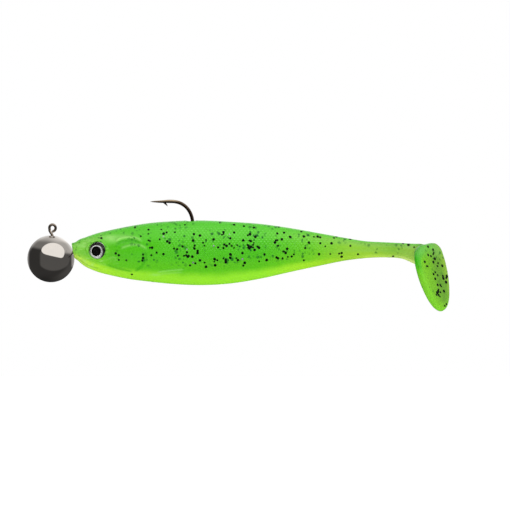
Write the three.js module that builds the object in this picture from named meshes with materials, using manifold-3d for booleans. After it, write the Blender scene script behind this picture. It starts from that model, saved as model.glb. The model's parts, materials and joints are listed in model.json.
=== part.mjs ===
// Swimbait: a soft paddle-tail shad threaded on a round ball jig head.
// Millimetres, +Z up, head towards -X, tail towards +X. The origin is the
// middle of the line tie, the small wire eye on top of the ball.
import * as THREE from 'three';
import { mergeVertices } from 'three/addons/utils/BufferGeometryUtils.js';
import Module from 'manifold-3d';

const wasm = await Module();
wasm.setup();

// ---------------------------------------------------------------- driving dimensions
const GAP = 0.3; // clearance kept between pieces that touch
const BALL_R = 7.5; // round weight of the jig head
const BALL_X = -0.7;
const BALL_Z = -9.8;

const WIRE_R = 0.475; // hook wire
const TIE_R = 1.05; // line tie, to the wire's centreline
const STEM_BEND_R = 2; // the wire turns from the stem to the shank inside the ball
const SHANK_Z = -7.5; // height of the hook's straight shank
const BEND_X = 37.5; // where the shank ends and the round bend starts
const BEND_LENGTH = 7.4; // how far the bend bulges behind BEND_X
const GAPE = 16.2; // shank to point, centre to centre
const POINT_START_X = 35.8; // the wire starts to taper here
const POINT_LENGTH = 4.8;

const KEEPER_X = 8; // barbed collar that grips the inside of the nose
const KEEPER_R = 0.95;
const KEEPER_BARB_R = 1.3;
const KEEPER_BARBS = 3;
const KEEPER_PITCH = 2;

const NOSE_X = 6.3; // stations of the soft body are counted from here
const EYE_R = 2.6;
const EYE_X = 14.2;
const EYE_Y = 3.35;
const EYE_Z = -7.1;
const EYE_TOE = THREE.MathUtils.degToRad(10); // both eyes look slightly forward
const FOIL_THICK = 0.25;
const DOME_RIM = 0.5;
const DOME_CROWN = 0.95;

// Flex lines of the soft body: distance behind the nose, and the radius of the
// upright knuckle that each piece turns on.
const BODY_FLEX = { s: 52, r: 5.7 };
const TAIL_FLEX = { s: 90, r: 2.7 };
const PADDLE_FLEX = { s: 109, r: 2.4 };

const PADDLE_YAW = THREE.MathUtils.degToRad(-45); // the paddle rests turned to one side
const PADDLE_LEAN = THREE.MathUtils.degToRad(-18); // its foot trails behind its top
const PADDLE_REACH = 5.9; // from its flex line to the middle of the plate
const PADDLE_THICK = 2.4;
const PADDLE_BEVEL = 0.8;

// Soft body: distance behind the nose, then the top, the underside and the half
// width, all measured from the shank.
const STATIONS = [
  [-0.6, 1.9, -1.6, 1.7],
  [0.4, 2.6, -2.4, 2.3],
  [1.8, 3.7, -3.3, 2.8],
  [4.3, 4.6, -4.9, 3.5],
  [8.1, 5.9, -6.5, 4.2],
  [11.9, 6.8, -7.5, 4.7],
  [18.3, 8.1, -8.75, 5.3],
  [24.7, 9.1, -9.5, 5.6],
  [31, 9.6, -10, 5.75],
  [40.6, 9.9, -10.5, 5.7],
  [50.1, 9.5, -10, 5.3],
  [60.3, 8.75, -8.4, 4.6],
  [69.2, 7.5, -6.5, 3.85],
  [78.8, 5.8, -4.5, 3],
  [87.1, 4.3, -2.8, 2.3],
  [93.4, 3.3, -2.1, 1.9],
  [99.8, 3, -1.9, 1.65],
  [104.9, 2.7, -2.3, 1.55],
  [109, 2.55, -3.9, 1.55],
  [112, 2.6, -5.1, 1.7],
  [114.6, 2.6, -6.2, 1.9],
];
const BODY_SIDES = 24;
const STEPS_PER_STATION = 2;
const SECTION_POWER = 0.92; // below 1 the section is a little fuller than an ellipse

// Right half of the paddle's outline, from its top to its foot: half width, height.
const PADDLE_OUTLINE = [
  [0, 2.8],
  [3.1, 2.5],
  [5.1, 1.1],
  [5.9, -2],
  [6, -5.5],
  [5.6, -9.8],
  [4.75, -13.4],
  [3.6, -16.4],
  [1.9, -18.9],
  [0, -19.8],
];

// ---------------------------------------------------------------- materials
const material = (color, roughness, metalness) =>
  new THREE.MeshStandardMaterial({ color, roughness, metalness });
const NICKEL = material(0x6f6c68, 0.12, 1);
const WIRE = material(0x2b211a, 0.3, 1);
const KEEPER_METAL = material(0x8f8d88, 0.35, 1);
const GREEN = material(0x55bf2c, 0.35, 0);
const TAIL_GREEN = material(0x8ec843, 0.35, 0);
const FOIL = material(0xc9c9cc, 0.15, 1);
const CLEAR = new THREE.MeshStandardMaterial({
  color: 0xf4f8f8,
  roughness: 0.05,
  metalness: 0,
  transparent: true,
  opacity: 0.35,
});

// ---------------------------------------------------------------- solids
function solid(geometry) {
  const bare = geometry.index ? geometry.clone() : geometry;
  bare.deleteAttribute('normal');
  bare.deleteAttribute('uv');
  const merged = mergeVertices(bare, 1e-5);
  return new wasm.Manifold(
    new wasm.Mesh({
      numProp: 3,
      vertProperties: new Float32Array(merged.attributes.position.array),
      triVerts: new Uint32Array(merged.index.array),
    })
  );
}

function mesh(name, shape, surface) {
  const { vertProperties, triVerts } = shape.getMesh();
  const geometry = new THREE.BufferGeometry();
  geometry.setAttribute('position', new THREE.BufferAttribute(vertProperties, 3));
  geometry.setIndex(new THREE.BufferAttribute(triVerts, 1));
  geometry.computeVertexNormals();
  const piece = new THREE.Mesh(geometry, surface);
  piece.name = name;
  return piece;
}

// A tube of round section along a list of points.
function tube(points, radius, steps, sides = 10) {
  const section = new THREE.Shape();
  section.absarc(0, 0, radius, 0, 2 * Math.PI);
  return solid(
    new THREE.ExtrudeGeometry(section, {
      extrudePath: new THREE.CatmullRomCurve3(points, false, 'centripetal'),
      steps,
      curveSegments: sides / 2, // a circle gets twice this number of sides
      bevelEnabled: false,
    })
  );
}

// A solid of revolution about an axis that starts at (x, 0, z) and runs towards -X or +X.
function turned(profile, x, z, towards, segments = 16) {
  const geometry = new THREE.LatheGeometry(
    profile.map(([radius, along]) => new THREE.Vector2(radius, along)),
    segments
  );
  geometry.rotateZ((-towards * Math.PI) / 2);
  geometry.translate(x, 0, z);
  return solid(geometry);
}

function uprightCylinder(x, radius) {
  const geometry = new THREE.CylinderGeometry(radius, radius, 60, 40);
  geometry.rotateX(Math.PI / 2);
  geometry.translate(x, 0, SHANK_Z);
  return solid(geometry);
}

function block(xFrom, xTo) {
  const geometry = new THREE.BoxGeometry(xTo - xFrom, 60, 60);
  geometry.translate((xFrom + xTo) / 2, 0, SHANK_Z);
  return solid(geometry);
}

// ---------------------------------------------------------------- hook wire
const at = (x, z) => new THREE.Vector3(x, 0, z);

function arc(x, z, rx, rz, fromDeg, toDeg, steps) {
  return Array.from({ length: steps + 1 }, (_, i) => {
    const angle = THREE.MathUtils.degToRad(fromDeg + ((toDeg - fromDeg) * i) / steps);
    return at(x + rx * Math.cos(angle), z + rz * Math.sin(angle));
  });
}

const lineTie = arc(0, 0, TIE_R, TIE_R, -52, 200, 14);
const stemBend = arc(STEM_BEND_R, SHANK_Z + STEM_BEND_R, STEM_BEND_R, STEM_BEND_R, 180, 270, 5);
const roundBend = arc(BEND_X, SHANK_Z + GAPE / 2, BEND_LENGTH, GAPE / 2, -90, 90, 16);
const stem = [at(-0.32, -2.2), at(-0.05, -3.8)];
const shank = [at(8, SHANK_Z), at(22, SHANK_Z)];
const wireInside = [...stemBend, ...shank, ...roundBend];

function pointAndBarb() {
  const base = POINT_START_X + 0.1;
  const height = SHANK_Z + GAPE;
  const cone = turned(
    [[0, 0], [WIRE_R, 0], [0.38, 0.45 * POINT_LENGTH], [0.2, 0.82 * POINT_LENGTH], [0, POINT_LENGTH]],
    base, height, -1, 10
  );
  const sliver = new THREE.Shape();
  const root = height - 0.75 * WIRE_R;
  sliver.moveTo(base - 2.2, root);
  sliver.lineTo(base + 0.5, height - 1.4);
  sliver.lineTo(base - 0.2, root);
  const barb = new THREE.ExtrudeGeometry(sliver, { depth: 0.5, bevelEnabled: false });
  barb.translate(0, 0, -0.25);
  barb.rotateX(Math.PI / 2);
  return cone.add(solid(barb));
}

function hook() {
  const route = [...lineTie, ...stem, ...wireInside, at(POINT_START_X, SHANK_Z + GAPE)];
  return tube(route, WIRE_R, 110).add(pointAndBarb());
}

// Room for the wire in the ball and in the soft body.
const wireRoom = tube([at(-1.1, 0.4), ...stem, ...wireInside], WIRE_R + GAP, 60);

// ---------------------------------------------------------------- jig head
function ball(radius) {
  const geometry = new THREE.SphereGeometry(radius, 32, 20);
  geometry.translate(BALL_X, 0, BALL_Z);
  return solid(geometry);
}

// Outline of the barbed collar: a tube with a row of barbs that slope towards the nose.
function keeperProfile(grow) {
  const profile = [[KEEPER_R + grow, -grow]];
  for (let i = 0; i < KEEPER_BARBS; i += 1) {
    const start = 0.6 + i * KEEPER_PITCH;
    profile.push([KEEPER_BARB_R + grow, start - grow], [KEEPER_BARB_R + grow, start + 0.3 + grow]);
    profile.push([KEEPER_R + grow, start + 1.5]);
  }
  profile.push([KEEPER_R + grow, KEEPER_BARBS * KEEPER_PITCH + 0.6 + grow]);
  return profile;
}

function closedRound(profile) {
  const first = profile[0][1];
  const last = profile[profile.length - 1][1];
  return turned([[0, first], ...profile, [0, last]], KEEPER_X, SHANK_Z, 1);
}

const keeper = closedRound(keeperProfile(0)).subtract(wireRoom);
const keeperRoom = closedRound(keeperProfile(GAP));

// ---------------------------------------------------------------- soft body
// One closed loft through the stations, from a capped cylinder.
function softBody() {
  const spans = STATIONS.length - 1;
  const edges = new THREE.CatmullRomCurve3(
    STATIONS.map(([s, top, bottom]) => new THREE.Vector3(s, top, bottom)), false, 'catmullrom'
  );
  const widths = new THREE.CatmullRomCurve3(
    STATIONS.map(([s, , , half]) => new THREE.Vector3(s, half, 0)), false, 'catmullrom'
  );
  const geometry = new THREE.CylinderGeometry(1, 1, 1, BODY_SIDES, spans * STEPS_PER_STATION);
  const position = geometry.attributes.position;
  const fuller = (value) => Math.sign(value) * Math.abs(value) ** SECTION_POWER;
  for (let i = 0; i < position.count; i += 1) {
    const t = THREE.MathUtils.clamp(0.5 - position.getY(i), 0, 1);
    const edge = edges.getPoint(t);
    const half = widths.getPoint(t).y;
    const middle = (edge.y + edge.z) / 2;
    const rise = (edge.y - edge.z) / 2;
    position.setXYZ(
      i,
      NOSE_X + edge.x,
      half * fuller(position.getX(i)),
      SHANK_Z + middle + rise * fuller(position.getZ(i))
    );
  }
  return solid(geometry);
}

const whole = softBody();
const END_X = 200;

// The part of the body in front of a flex line, hollowed to take the knuckle.
function inFront(flex) {
  const x = NOSE_X + flex.s;
  return block(x, END_X).add(uprightCylinder(x, flex.r));
}

// The part behind a flex line, with the knuckle on its front.
function behind(flex) {
  const x = NOSE_X + flex.s;
  return block(x, END_X).add(uprightCylinder(x, flex.r - GAP));
}

function eyeAxis(side) {
  return side < 0 ? Math.PI - EYE_TOE : EYE_TOE;
}

function eyeSocket(side) {
  const floor = -2 * GAP - FOIL_THICK;
  const geometry = new THREE.CylinderGeometry(EYE_R + GAP, EYE_R + GAP, 4 - floor, 32);
  geometry.translate(0, (4 + floor) / 2, 0);
  geometry.rotateZ(eyeAxis(side));
  geometry.translate(EYE_X, side * EYE_Y, EYE_Z);
  return solid(geometry);
}

function bodyFront() {
  return whole
    .subtract(inFront(BODY_FLEX))
    .subtract(ball(BALL_R + GAP))
    .subtract(wireRoom)
    .subtract(keeperRoom)
    .subtract(eyeSocket(-1))
    .subtract(eyeSocket(1));
}

const bodyRear = whole.intersect(behind(BODY_FLEX)).subtract(inFront(TAIL_FLEX));
const tailStalk = whole.intersect(behind(TAIL_FLEX)).subtract(inFront(PADDLE_FLEX));

// ---------------------------------------------------------------- paddle
function paddlePlate() {
  const right = PADDLE_OUTLINE.map(([half, height]) => new THREE.Vector2(half, height));
  const left = PADDLE_OUTLINE.map(([half, height]) => new THREE.Vector2(-half, height)).reverse();
  const outline = new THREE.Shape();
  outline.moveTo(right[0].x, right[0].y);
  outline.splineThru(right.slice(1));
  outline.splineThru(left.slice(1));
  const geometry = new THREE.ExtrudeGeometry(outline, {
    depth: PADDLE_THICK - 2 * PADDLE_BEVEL,
    bevelThickness: PADDLE_BEVEL,
    bevelSize: PADDLE_BEVEL,
    bevelOffset: -PADDLE_BEVEL,
    bevelSegments: 2,
    curveSegments: 2,
  });
  geometry.translate(0, 0, PADDLE_BEVEL - PADDLE_THICK / 2);
  const upright = new THREE.Matrix4().makeBasis(
    new THREE.Vector3(0, 1, 0), new THREE.Vector3(0, 0, 1), new THREE.Vector3(1, 0, 0)
  );
  geometry.applyMatrix4(upright);
  geometry.rotateY(PADDLE_LEAN);
  geometry.translate(PADDLE_REACH, 0, 0);
  return solid(geometry);
}

// Neck and plate as one moulding, with its flex line as its own origin.
function paddle() {
  const neck = whole
    .intersect(behind(PADDLE_FLEX))
    .translate([-NOSE_X - PADDLE_FLEX.s, 0, -SHANK_Z]);
  return neck.add(paddlePlate());
}

// ---------------------------------------------------------------- eyes
function eyeDome() {
  const profile = [[0, 0], [EYE_R, 0], [EYE_R, DOME_RIM]];
  const steps = 7;
  for (let i = 1; i < steps; i += 1) {
    const angle = (i / steps) * (Math.PI / 2);
    profile.push([EYE_R * Math.cos(angle), DOME_RIM + DOME_CROWN * Math.sin(angle)]);
  }
  profile.push([0, DOME_RIM + DOME_CROWN]);
  return solid(new THREE.LatheGeometry(profile.map(([r, y]) => new THREE.Vector2(r, y)), 32));
}

function eyeFoil() {
  const geometry = new THREE.CylinderGeometry(EYE_R, EYE_R, FOIL_THICK, 32);
  geometry.translate(0, -GAP - FOIL_THICK / 2, 0);
  return solid(geometry);
}

function eye(name, side) {
  const group = new THREE.Group();
  group.position.set(EYE_X, side * EYE_Y, EYE_Z);
  group.rotation.z = eyeAxis(side);
  group.add(mesh(`${name}_eye_foil`, eyeFoil(), FOIL));
  group.add(mesh(`${name}_eye_dome`, eyeDome(), CLEAR));
  return group;
}

// ---------------------------------------------------------------- assembly
const swimbait = new THREE.Group();

const jigHead = new THREE.Group();
jigHead.add(mesh('jig_head_ball', ball(BALL_R).subtract(wireRoom), NICKEL));
jigHead.add(mesh('jig_hook', hook(), WIRE));
jigHead.add(mesh('bait_keeper', keeper, KEEPER_METAL));
swimbait.add(jigHead);

const shad = new THREE.Group();
shad.add(mesh('body_front', bodyFront(), GREEN));
shad.add(mesh('body_rear', bodyRear, GREEN));
shad.add(mesh('tail_stalk', tailStalk, TAIL_GREEN));
shad.add(eye('left', -1));
shad.add(eye('right', 1));

const paddlePivot = new THREE.Group();
paddlePivot.position.set(NOSE_X + PADDLE_FLEX.s, 0, SHANK_Z);
paddlePivot.rotation.z = PADDLE_YAW;
paddlePivot.add(mesh('tail_paddle', paddle(), TAIL_GREEN));
shad.add(paddlePivot);
swimbait.add(shad);

export default swimbait;
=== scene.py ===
"""Looks of the swimbait: skin, flake, eyes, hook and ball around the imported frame.

Shapes are worked out in millimetres in the frame's own axes and scaled to metres
when a mesh is made. "s" is the distance behind the nose and "z" the height above
the hook's shank.
"""
import json
import math

import bmesh
import bpy
import numpy as np
from mathutils import Matrix, Vector
from mathutils.bvhtree import BVHTree


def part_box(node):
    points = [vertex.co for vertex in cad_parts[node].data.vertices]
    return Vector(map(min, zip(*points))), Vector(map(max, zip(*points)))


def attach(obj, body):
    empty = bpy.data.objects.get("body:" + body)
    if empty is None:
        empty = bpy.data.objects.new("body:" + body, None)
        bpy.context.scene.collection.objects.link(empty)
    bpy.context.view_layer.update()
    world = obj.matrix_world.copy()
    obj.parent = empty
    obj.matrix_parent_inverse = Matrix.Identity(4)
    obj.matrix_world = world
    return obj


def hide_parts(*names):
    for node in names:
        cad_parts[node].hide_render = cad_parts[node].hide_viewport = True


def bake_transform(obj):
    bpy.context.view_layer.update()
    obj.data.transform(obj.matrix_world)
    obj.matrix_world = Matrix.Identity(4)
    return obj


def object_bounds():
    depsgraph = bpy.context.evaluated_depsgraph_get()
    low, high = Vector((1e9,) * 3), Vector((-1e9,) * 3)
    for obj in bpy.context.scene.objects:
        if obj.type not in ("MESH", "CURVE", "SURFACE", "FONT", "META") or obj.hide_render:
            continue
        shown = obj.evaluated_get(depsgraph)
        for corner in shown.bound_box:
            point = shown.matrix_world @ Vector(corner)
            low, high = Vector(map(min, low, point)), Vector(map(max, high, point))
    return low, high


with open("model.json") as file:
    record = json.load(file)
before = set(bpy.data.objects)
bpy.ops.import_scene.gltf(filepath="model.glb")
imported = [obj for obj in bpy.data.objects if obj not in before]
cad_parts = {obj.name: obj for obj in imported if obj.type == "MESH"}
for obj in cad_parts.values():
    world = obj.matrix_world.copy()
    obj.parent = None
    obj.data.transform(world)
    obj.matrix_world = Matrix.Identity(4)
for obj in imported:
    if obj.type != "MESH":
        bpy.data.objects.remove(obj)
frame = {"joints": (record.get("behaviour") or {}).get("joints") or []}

CAD_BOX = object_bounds()
MM = 0.001
RNG = np.random.default_rng(7)


# ---------------- sizes from the frame
def box_mm(node):
    low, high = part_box(node)
    return np.array(low) / MM, np.array(high) / MM


def hinge_mm(name):
    joint = next(j for j in frame["joints"] if j["name"] == name)
    return np.array(joint["pos_m"]) / MM


BODY_HINGE, TAIL_HINGE, PADDLE_HINGE = (
    hinge_mm(n) for n in ("body_sway", "tail_sway", "paddle_kick")
)
BALL_LOW, BALL_HIGH = box_mm("jig_head_ball")
BALL_CENTRE = (BALL_LOW + BALL_HIGH) / 2
BALL_R = (BALL_HIGH[0] - BALL_LOW[0]) / 2
NOSE_PRESS = 0.15  # the seen ball is pressed this far towards the nose
NOSE_CLEAR = 0.03  # and is this much smaller
SEEN_BALL_CENTRE = BALL_CENTRE + (NOSE_PRESS, 0, 0)
SEEN_BALL_R = BALL_R - NOSE_CLEAR
SHANK_Z = PADDLE_HINGE[2]
FLEX_S = 109.0  # the paddle's flex line, behind the nose
NOSE_X = PADDLE_HINGE[0] - FLEX_S
BAIT_LENGTH = 120  # places along the bait are stored as shares of this
PLATE_HALF, PLATE_HEIGHT = 6.6, 20  # and places on the paddle as shares of these

# ---------------- soft body, outline
# Distance behind the nose, top and underside measured from the shank, and half width.
STATIONS = np.array([
    (0.4, 2.75, -2.2, 2.3),
    (1.2, 2.95, -2.75, 2.6),
    (2.6, 3.9, -3.9, 3.0),
    (4.3, 4.6, -4.9, 3.5),
    (8.1, 5.9, -6.5, 4.2),
    (11.9, 6.8, -7.5, 4.7),
    (18.3, 8.1, -8.8, 5.3),
    (24.7, 9.1, -9.6, 5.6),
    (31.0, 9.6, -10.25, 5.75),
    (40.6, 9.9, -10.7, 5.7),
    (50.1, 9.5, -10.2, 5.3),
    (60.3, 8.75, -8.55, 4.6),
    (69.2, 7.5, -6.55, 3.85),
    (78.8, 5.8, -4.5, 3.0),
    (87.1, 4.3, -2.85, 2.3),
    (93.4, 3.3, -2.1, 1.9),
    (99.8, 2.95, -1.9, 1.65),
    (104.9, 2.7, -2.3, 1.55),
    (109.0, 2.5, -3.9, 1.6),
    (111.6, 2.45, -4.95, 1.75),
])
SIDES = 224  # points in each ring of the skin
SECTION_POWER = 0.92  # below 1 the section is a little fuller than an ellipse
WIDEST_LIFT = 0.07  # the section is widest a little above its middle

NECK_TANGENT = 4.0  # the stalk's bend starts and ends this far from the flex line
PADDLE_YAW = math.radians(-45)
PADDLE_LEAN = math.radians(-18)
PADDLE_TURN = np.array(Matrix.Rotation(PADDLE_YAW, 3, "Z"))
PADDLE_HEADING = np.array([math.cos(PADDLE_YAW), math.sin(PADDLE_YAW), 0])
PADDLE_REACH = 5.1  # from the flex line to the middle of the plate
PADDLE_THICK = 2.5
PADDLE_DISH = 0.25  # depth of the hollow in its back
RIM_ROUND = 1.15
NECK_FILLET = 2.2
# Half outlines (across, up) of the side away from the camera and of the near side.
PADDLE_FAR = np.array([
    (0, 2.4), (2.3, 2.75), (4.4, 2.6), (6.0, 1.3), (6.75, -1.8), (6.85, -5.5),
    (6.4, -9.8), (5.45, -13.4), (4.2, -16.4), (2.2, -18.9), (0, -19.8),
])
PADDLE_NEAR = np.array([
    (0, 2.4), (2.2, 2.1), (4.1, 1.0), (5.65, -1.0), (6.4, -3.6), (6.55, -6.5),
    (6.25, -9.8), (5.35, -13.4), (4.1, -16.4), (2.1, -18.9), (0, -19.8),
])

FRONT_CUT_S = 71.0  # the skin is cut into pieces where it stays rigid
TAIL_CUT_S = 100.0


def hermite(xs, ys, x):
    """Smooth curve through (xs, ys), with each slope taken from its two neighbours."""
    slope = np.gradient(ys, xs)
    i = np.clip(np.searchsorted(xs, x) - 1, 0, len(xs) - 2)
    h = xs[i + 1] - xs[i]
    t = (x - xs[i]) / h
    return (
        (2 * t**3 - 3 * t**2 + 1) * ys[i]
        + (t**3 - 2 * t**2 + t) * h * slope[i]
        + (3 * t**2 - 2 * t**3) * ys[i + 1]
        + (t**3 - t**2) * h * slope[i + 1]
    )


def smooth(low, high, x):
    t = np.clip((x - low) / (high - low), 0, 1)
    return t * t * (3 - 2 * t)


def unit(vectors):
    return vectors / np.linalg.norm(vectors, axis=-1, keepdims=True)


def per_ring(values):
    """One value for each ring, repeated at every point of the ring."""
    return np.repeat(np.asarray(values)[:, None], SIDES, 1)


def run_along(points):
    """Length from the first point to each point of a line."""
    steps = np.linalg.norm(np.diff(points, axis=0), axis=1)
    return np.concatenate([[0], np.cumsum(steps)])


def curve(run, knots, at):
    """Smooth plane curve through knots, which lie at the lengths run, at the lengths at."""
    return np.stack([hermite(run, knots[:, c], at) for c in (0, 1)], 1)


def even(points, count):
    """count points at even steps of length round a closed loop."""
    loop = np.vstack([points, points[:1]])
    run = run_along(loop)
    want = np.linspace(0, run[-1], count, endpoint=False)
    return np.stack([np.interp(want, run, loop[:, c]) for c in (0, 1)], 1)


def section(top, under, half):
    """One closed section (y, z), counted from the top down the left side (-Y)."""
    a = np.linspace(0, 2 * math.pi, 360, endpoint=False)
    c, v = np.cos(a), np.sin(a)
    y = -half * np.sign(v) * np.abs(v) ** SECTION_POWER
    up = np.sign(c) * np.abs(c) ** SECTION_POWER
    rise = (top - under) / 2
    z = (top + under) / 2 + rise * (up + WIDEST_LIFT * (1 - up**2))
    return even(np.stack([y, z], 1), SIDES)


def ring_stations():
    """Closer rings round the eye and over the scales than on the plain tail."""
    spans = ((0.4, 4.6, 0.22), (4.6, 11.4, 0.15), (11.4, 70, 0.24), (70, 111.6, 0.4))
    closest = 0.05
    cuts = [FRONT_CUT_S, TAIL_CUT_S, STATIONS[-1, 0]]
    parts = [np.arange(start, stop, step) for start, stop, step in spans]
    s = np.unique(np.round(np.concatenate(parts + [cuts]), 4))
    keep = np.concatenate([[True], np.diff(s) > closest])
    return s[keep | np.isin(s, cuts)]


def neck_frame(s):
    """Middle (x, y) and heading of the soft body at s: straight, an arc, then straight."""
    start = FLEX_S - NECK_TANGENT
    if s <= start:
        return np.array([NOSE_X + s, 0.0]), 0.0
    radius = NECK_TANGENT / math.tan(abs(PADDLE_YAW) / 2)
    arc = radius * abs(PADDLE_YAW)
    run = (s - start) * arc / (2 * NECK_TANGENT)
    bend = min(run, arc) / radius
    middle = np.array([
        NOSE_X + start + radius * math.sin(bend), -radius * (1 - math.cos(bend))
    ])
    if run > arc:
        middle = middle + (run - arc) * np.array([math.cos(bend), -math.sin(bend)])
    return middle, -bend


def nose_face(y, z):
    """How far behind the nose its front face lies: leaning, and hollowed by the ball."""
    middle, lean, clear = 0.2, 0.18, 0.04
    depth = np.sqrt(np.maximum(BALL_R**2 - y**2 - (z + SHANK_Z - BALL_CENTRE[2]) ** 2, 0))
    ball = BALL_CENTRE[0] + depth - NOSE_X
    return np.maximum(middle - lean * z, ball + clear)


def skin_rings():
    """Rings of the moulding from its nose to the end of the neck, and s for each ring."""
    lip_round, lip_depth, hollow_end = 0.12, 0.2, 4.0
    stations = ring_stations()
    profile = [hermite(STATIONS[:, 0], STATIONS[:, i], stations) for i in (1, 2, 3)]
    rings, place = [], []
    lip = section(*(line[0] for line in profile))
    middle = lip.mean(axis=0)
    for share in (0.0, 0.25, 0.5, 0.72, 0.88, 0.96):
        yz = middle + (lip - middle) * share
        face = nose_face(yz[:, 0], yz[:, 1]) + lip_round * share**6
        rings.append(np.stack([NOSE_X + face, yz[:, 0], SHANK_Z + yz[:, 1]], 1))
        place.append(0.0)
    for s, top, under, half in zip(stations, *profile):
        yz = section(top, under, half)
        centre, heading = neck_frame(s)
        x = np.full(SIDES, centre[0])
        if s < hollow_end:
            start = NOSE_X + nose_face(yz[:, 0], yz[:, 1]) + lip_depth
            t = (s - stations[0]) / (hollow_end - stations[0])
            x = (1 - t) * start + t * (NOSE_X + hollow_end)
        out_x, out_y = -math.sin(heading) * yz[:, 0], math.cos(heading) * yz[:, 0]
        rings.append(np.stack([x + out_x, centre[1] + out_y, SHANK_Z + yz[:, 1]], 1))
        place.append(s)
    return rings, place


def paddle_loop():
    """The paddle's outline as an even closed loop (across, up) and its outward normals."""
    near = PADDLE_NEAR[-2:0:-1] * (-1, 1)
    knots = np.roll(np.vstack([PADDLE_FAR, near])[::-1], 1, axis=0)
    closed = np.vstack([knots, knots[:1]])
    run = run_along(closed)
    wrap = np.vstack([closed[-3:-1], closed, closed[1:3]])
    at = np.concatenate([run[-3:-1] - run[-1], run, run[1:3] + run[-1]])
    loop = even(curve(at, wrap, np.linspace(0, run[-1], 600, endpoint=False)), SIDES)
    tangent = np.roll(loop, -1, 0) - np.roll(loop, 1, 0)
    normal = unit(np.stack([tangent[:, 1], -tangent[:, 0]], 1))
    outward = ((loop - loop.mean(0)) * normal).sum() > 0
    return loop, normal if outward else -normal


def paddle_rim(angle):
    """One ring of the rim, from its front edge (0) over its side to its back edge (pi).

    Near the stalk the front edge is crisper, and on the near side the back edge softer."""
    crisp, soft = 0.85, 1.3
    loop, normal = paddle_loop()
    across, up = loop.T
    inset = np.full(SIDES, RIM_ROUND * (1 - math.sin(angle)))
    if angle < math.pi / 2:
        inset *= 1 - crisp * smooth(-2.5, 1.0, up)
    else:
        inset *= 1 + soft * smooth(-5.0, 0.5, up) * smooth(-1.0, -4.5, across)
    flat = loop - normal * inset[:, None]
    depth = -PADDLE_THICK / 2 * math.cos(angle)
    return paddle_place(flat[:, 0], flat[:, 1], np.full(SIDES, depth))


def paddle_place(across, up, depth):
    """Points of the paddle's own plane, given with their depth behind it, in the frame."""
    lean = np.array(Matrix.Rotation(PADDLE_LEAN, 3, "Y"))
    turned = np.stack([depth, across, up], 1) @ lean.T + (PADDLE_REACH, 0, 0)
    return turned @ PADDLE_TURN.T + PADDLE_HINGE


def paddle_middle(depth=0.0):
    """The middle of the paddle's own plane, or the point at a depth behind it."""
    zero = np.zeros(1)
    return paddle_place(zero, zero, zero + depth)[0]


def paddle_rings(neck):
    """From the end of the neck over the front face, round the rim and across the back.

    Also gives the share of the rim in each ring: 0 on the faces and 1 on the side."""
    front = paddle_rim(0)
    along = plate_offset(neck)
    across = front - neck - along
    length = np.linalg.norm(across, axis=1)[:, None]
    fillet = np.minimum(NECK_FILLET / length, 1)
    rings, rim = [], []
    for angle in np.linspace(0, math.pi / 2, 10)[1:]:
        rings.append(neck + along * math.sin(angle) + across * fillet * (1 - math.cos(angle)))
        rim.append(0.0)
    for step in np.linspace(0, 1, 30)[1:]:
        rings.append(neck + along + across * (fillet + (1 - fillet) * step))
        rim.append(0.0)
    for angle in np.linspace(0, math.pi, 15)[1:]:
        rings.append(paddle_rim(angle))
        rim.append(math.sin(angle) ** 0.5)
    back = rings[-1]
    middle = back.mean(axis=0)
    for share in np.linspace(1, 0, 42)[1:]:
        hollow = PADDLE_DISH * (1 - share**2)
        rings.append(middle + (back - middle) * share - plate_normal() * hollow)
        rim.append(0.35 * smooth(0.82, 1.0, share))
    return rings, rim


def plate_normal():
    return paddle_middle(1) - paddle_middle()


def plate_offset(points):
    """How far each point of the neck still is from the paddle's front face."""
    normal = plate_normal()
    on_face = paddle_middle(-PADDLE_THICK / 2)
    gap = ((on_face - points) @ normal) / (PADDLE_HEADING @ normal)
    return gap[:, None] * PADDLE_HEADING


# ---------------- soft body, relief
# Lines of the moulded head and belly as (s, z) knots, with height and half width in mm.
RELIEF = (
    (((13.6, 2.7), (14.6, 3.7), (16.4, 4.3), (18.6, 4.5), (20.8, 4.1), (22.6, 3.2)), 0.34, 0.42),
    (((15.2, 0.7), (17.0, 1.5), (19.6, 2.1), (21.8, 1.9), (24.2, 0.6)), 0.26, 0.36),
    (((26.6, -6.7), (29.0, -6.3), (32.5, -5.9), (36.0, -5.7)), 0.24, 0.24),
    (((27.6, -7.3), (30.0, -6.95), (33.0, -6.7), (35.6, -6.6)), 0.14, 0.26),
    (((10.9, 4.5), (9.0, 4.3), (6.5, 3.7), (4.2, 2.6)), 0.16, 0.6),
)
CREASES = (
    (((1.0, -1.9), (2.6, -3.0), (4.7, -4.3), (7.0, -5.1), (9.4, -5.5)), 0.07, 0.4),
    (((23.4, 0.4), (23.4, -2.4), (22.0, -4.9), (19.6, -6.4)), 0.12, 0.5),
    (((13.9, 1.9), (15.2, 2.9), (17.2, 3.4), (19.6, 3.5), (22.0, 2.5)), 0.16, 0.4),
    (((10.4, -3.9), (13.2, -4.9), (16.1, -5.7), (19.8, -6.5)), 0.1, 0.36),
)
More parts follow.
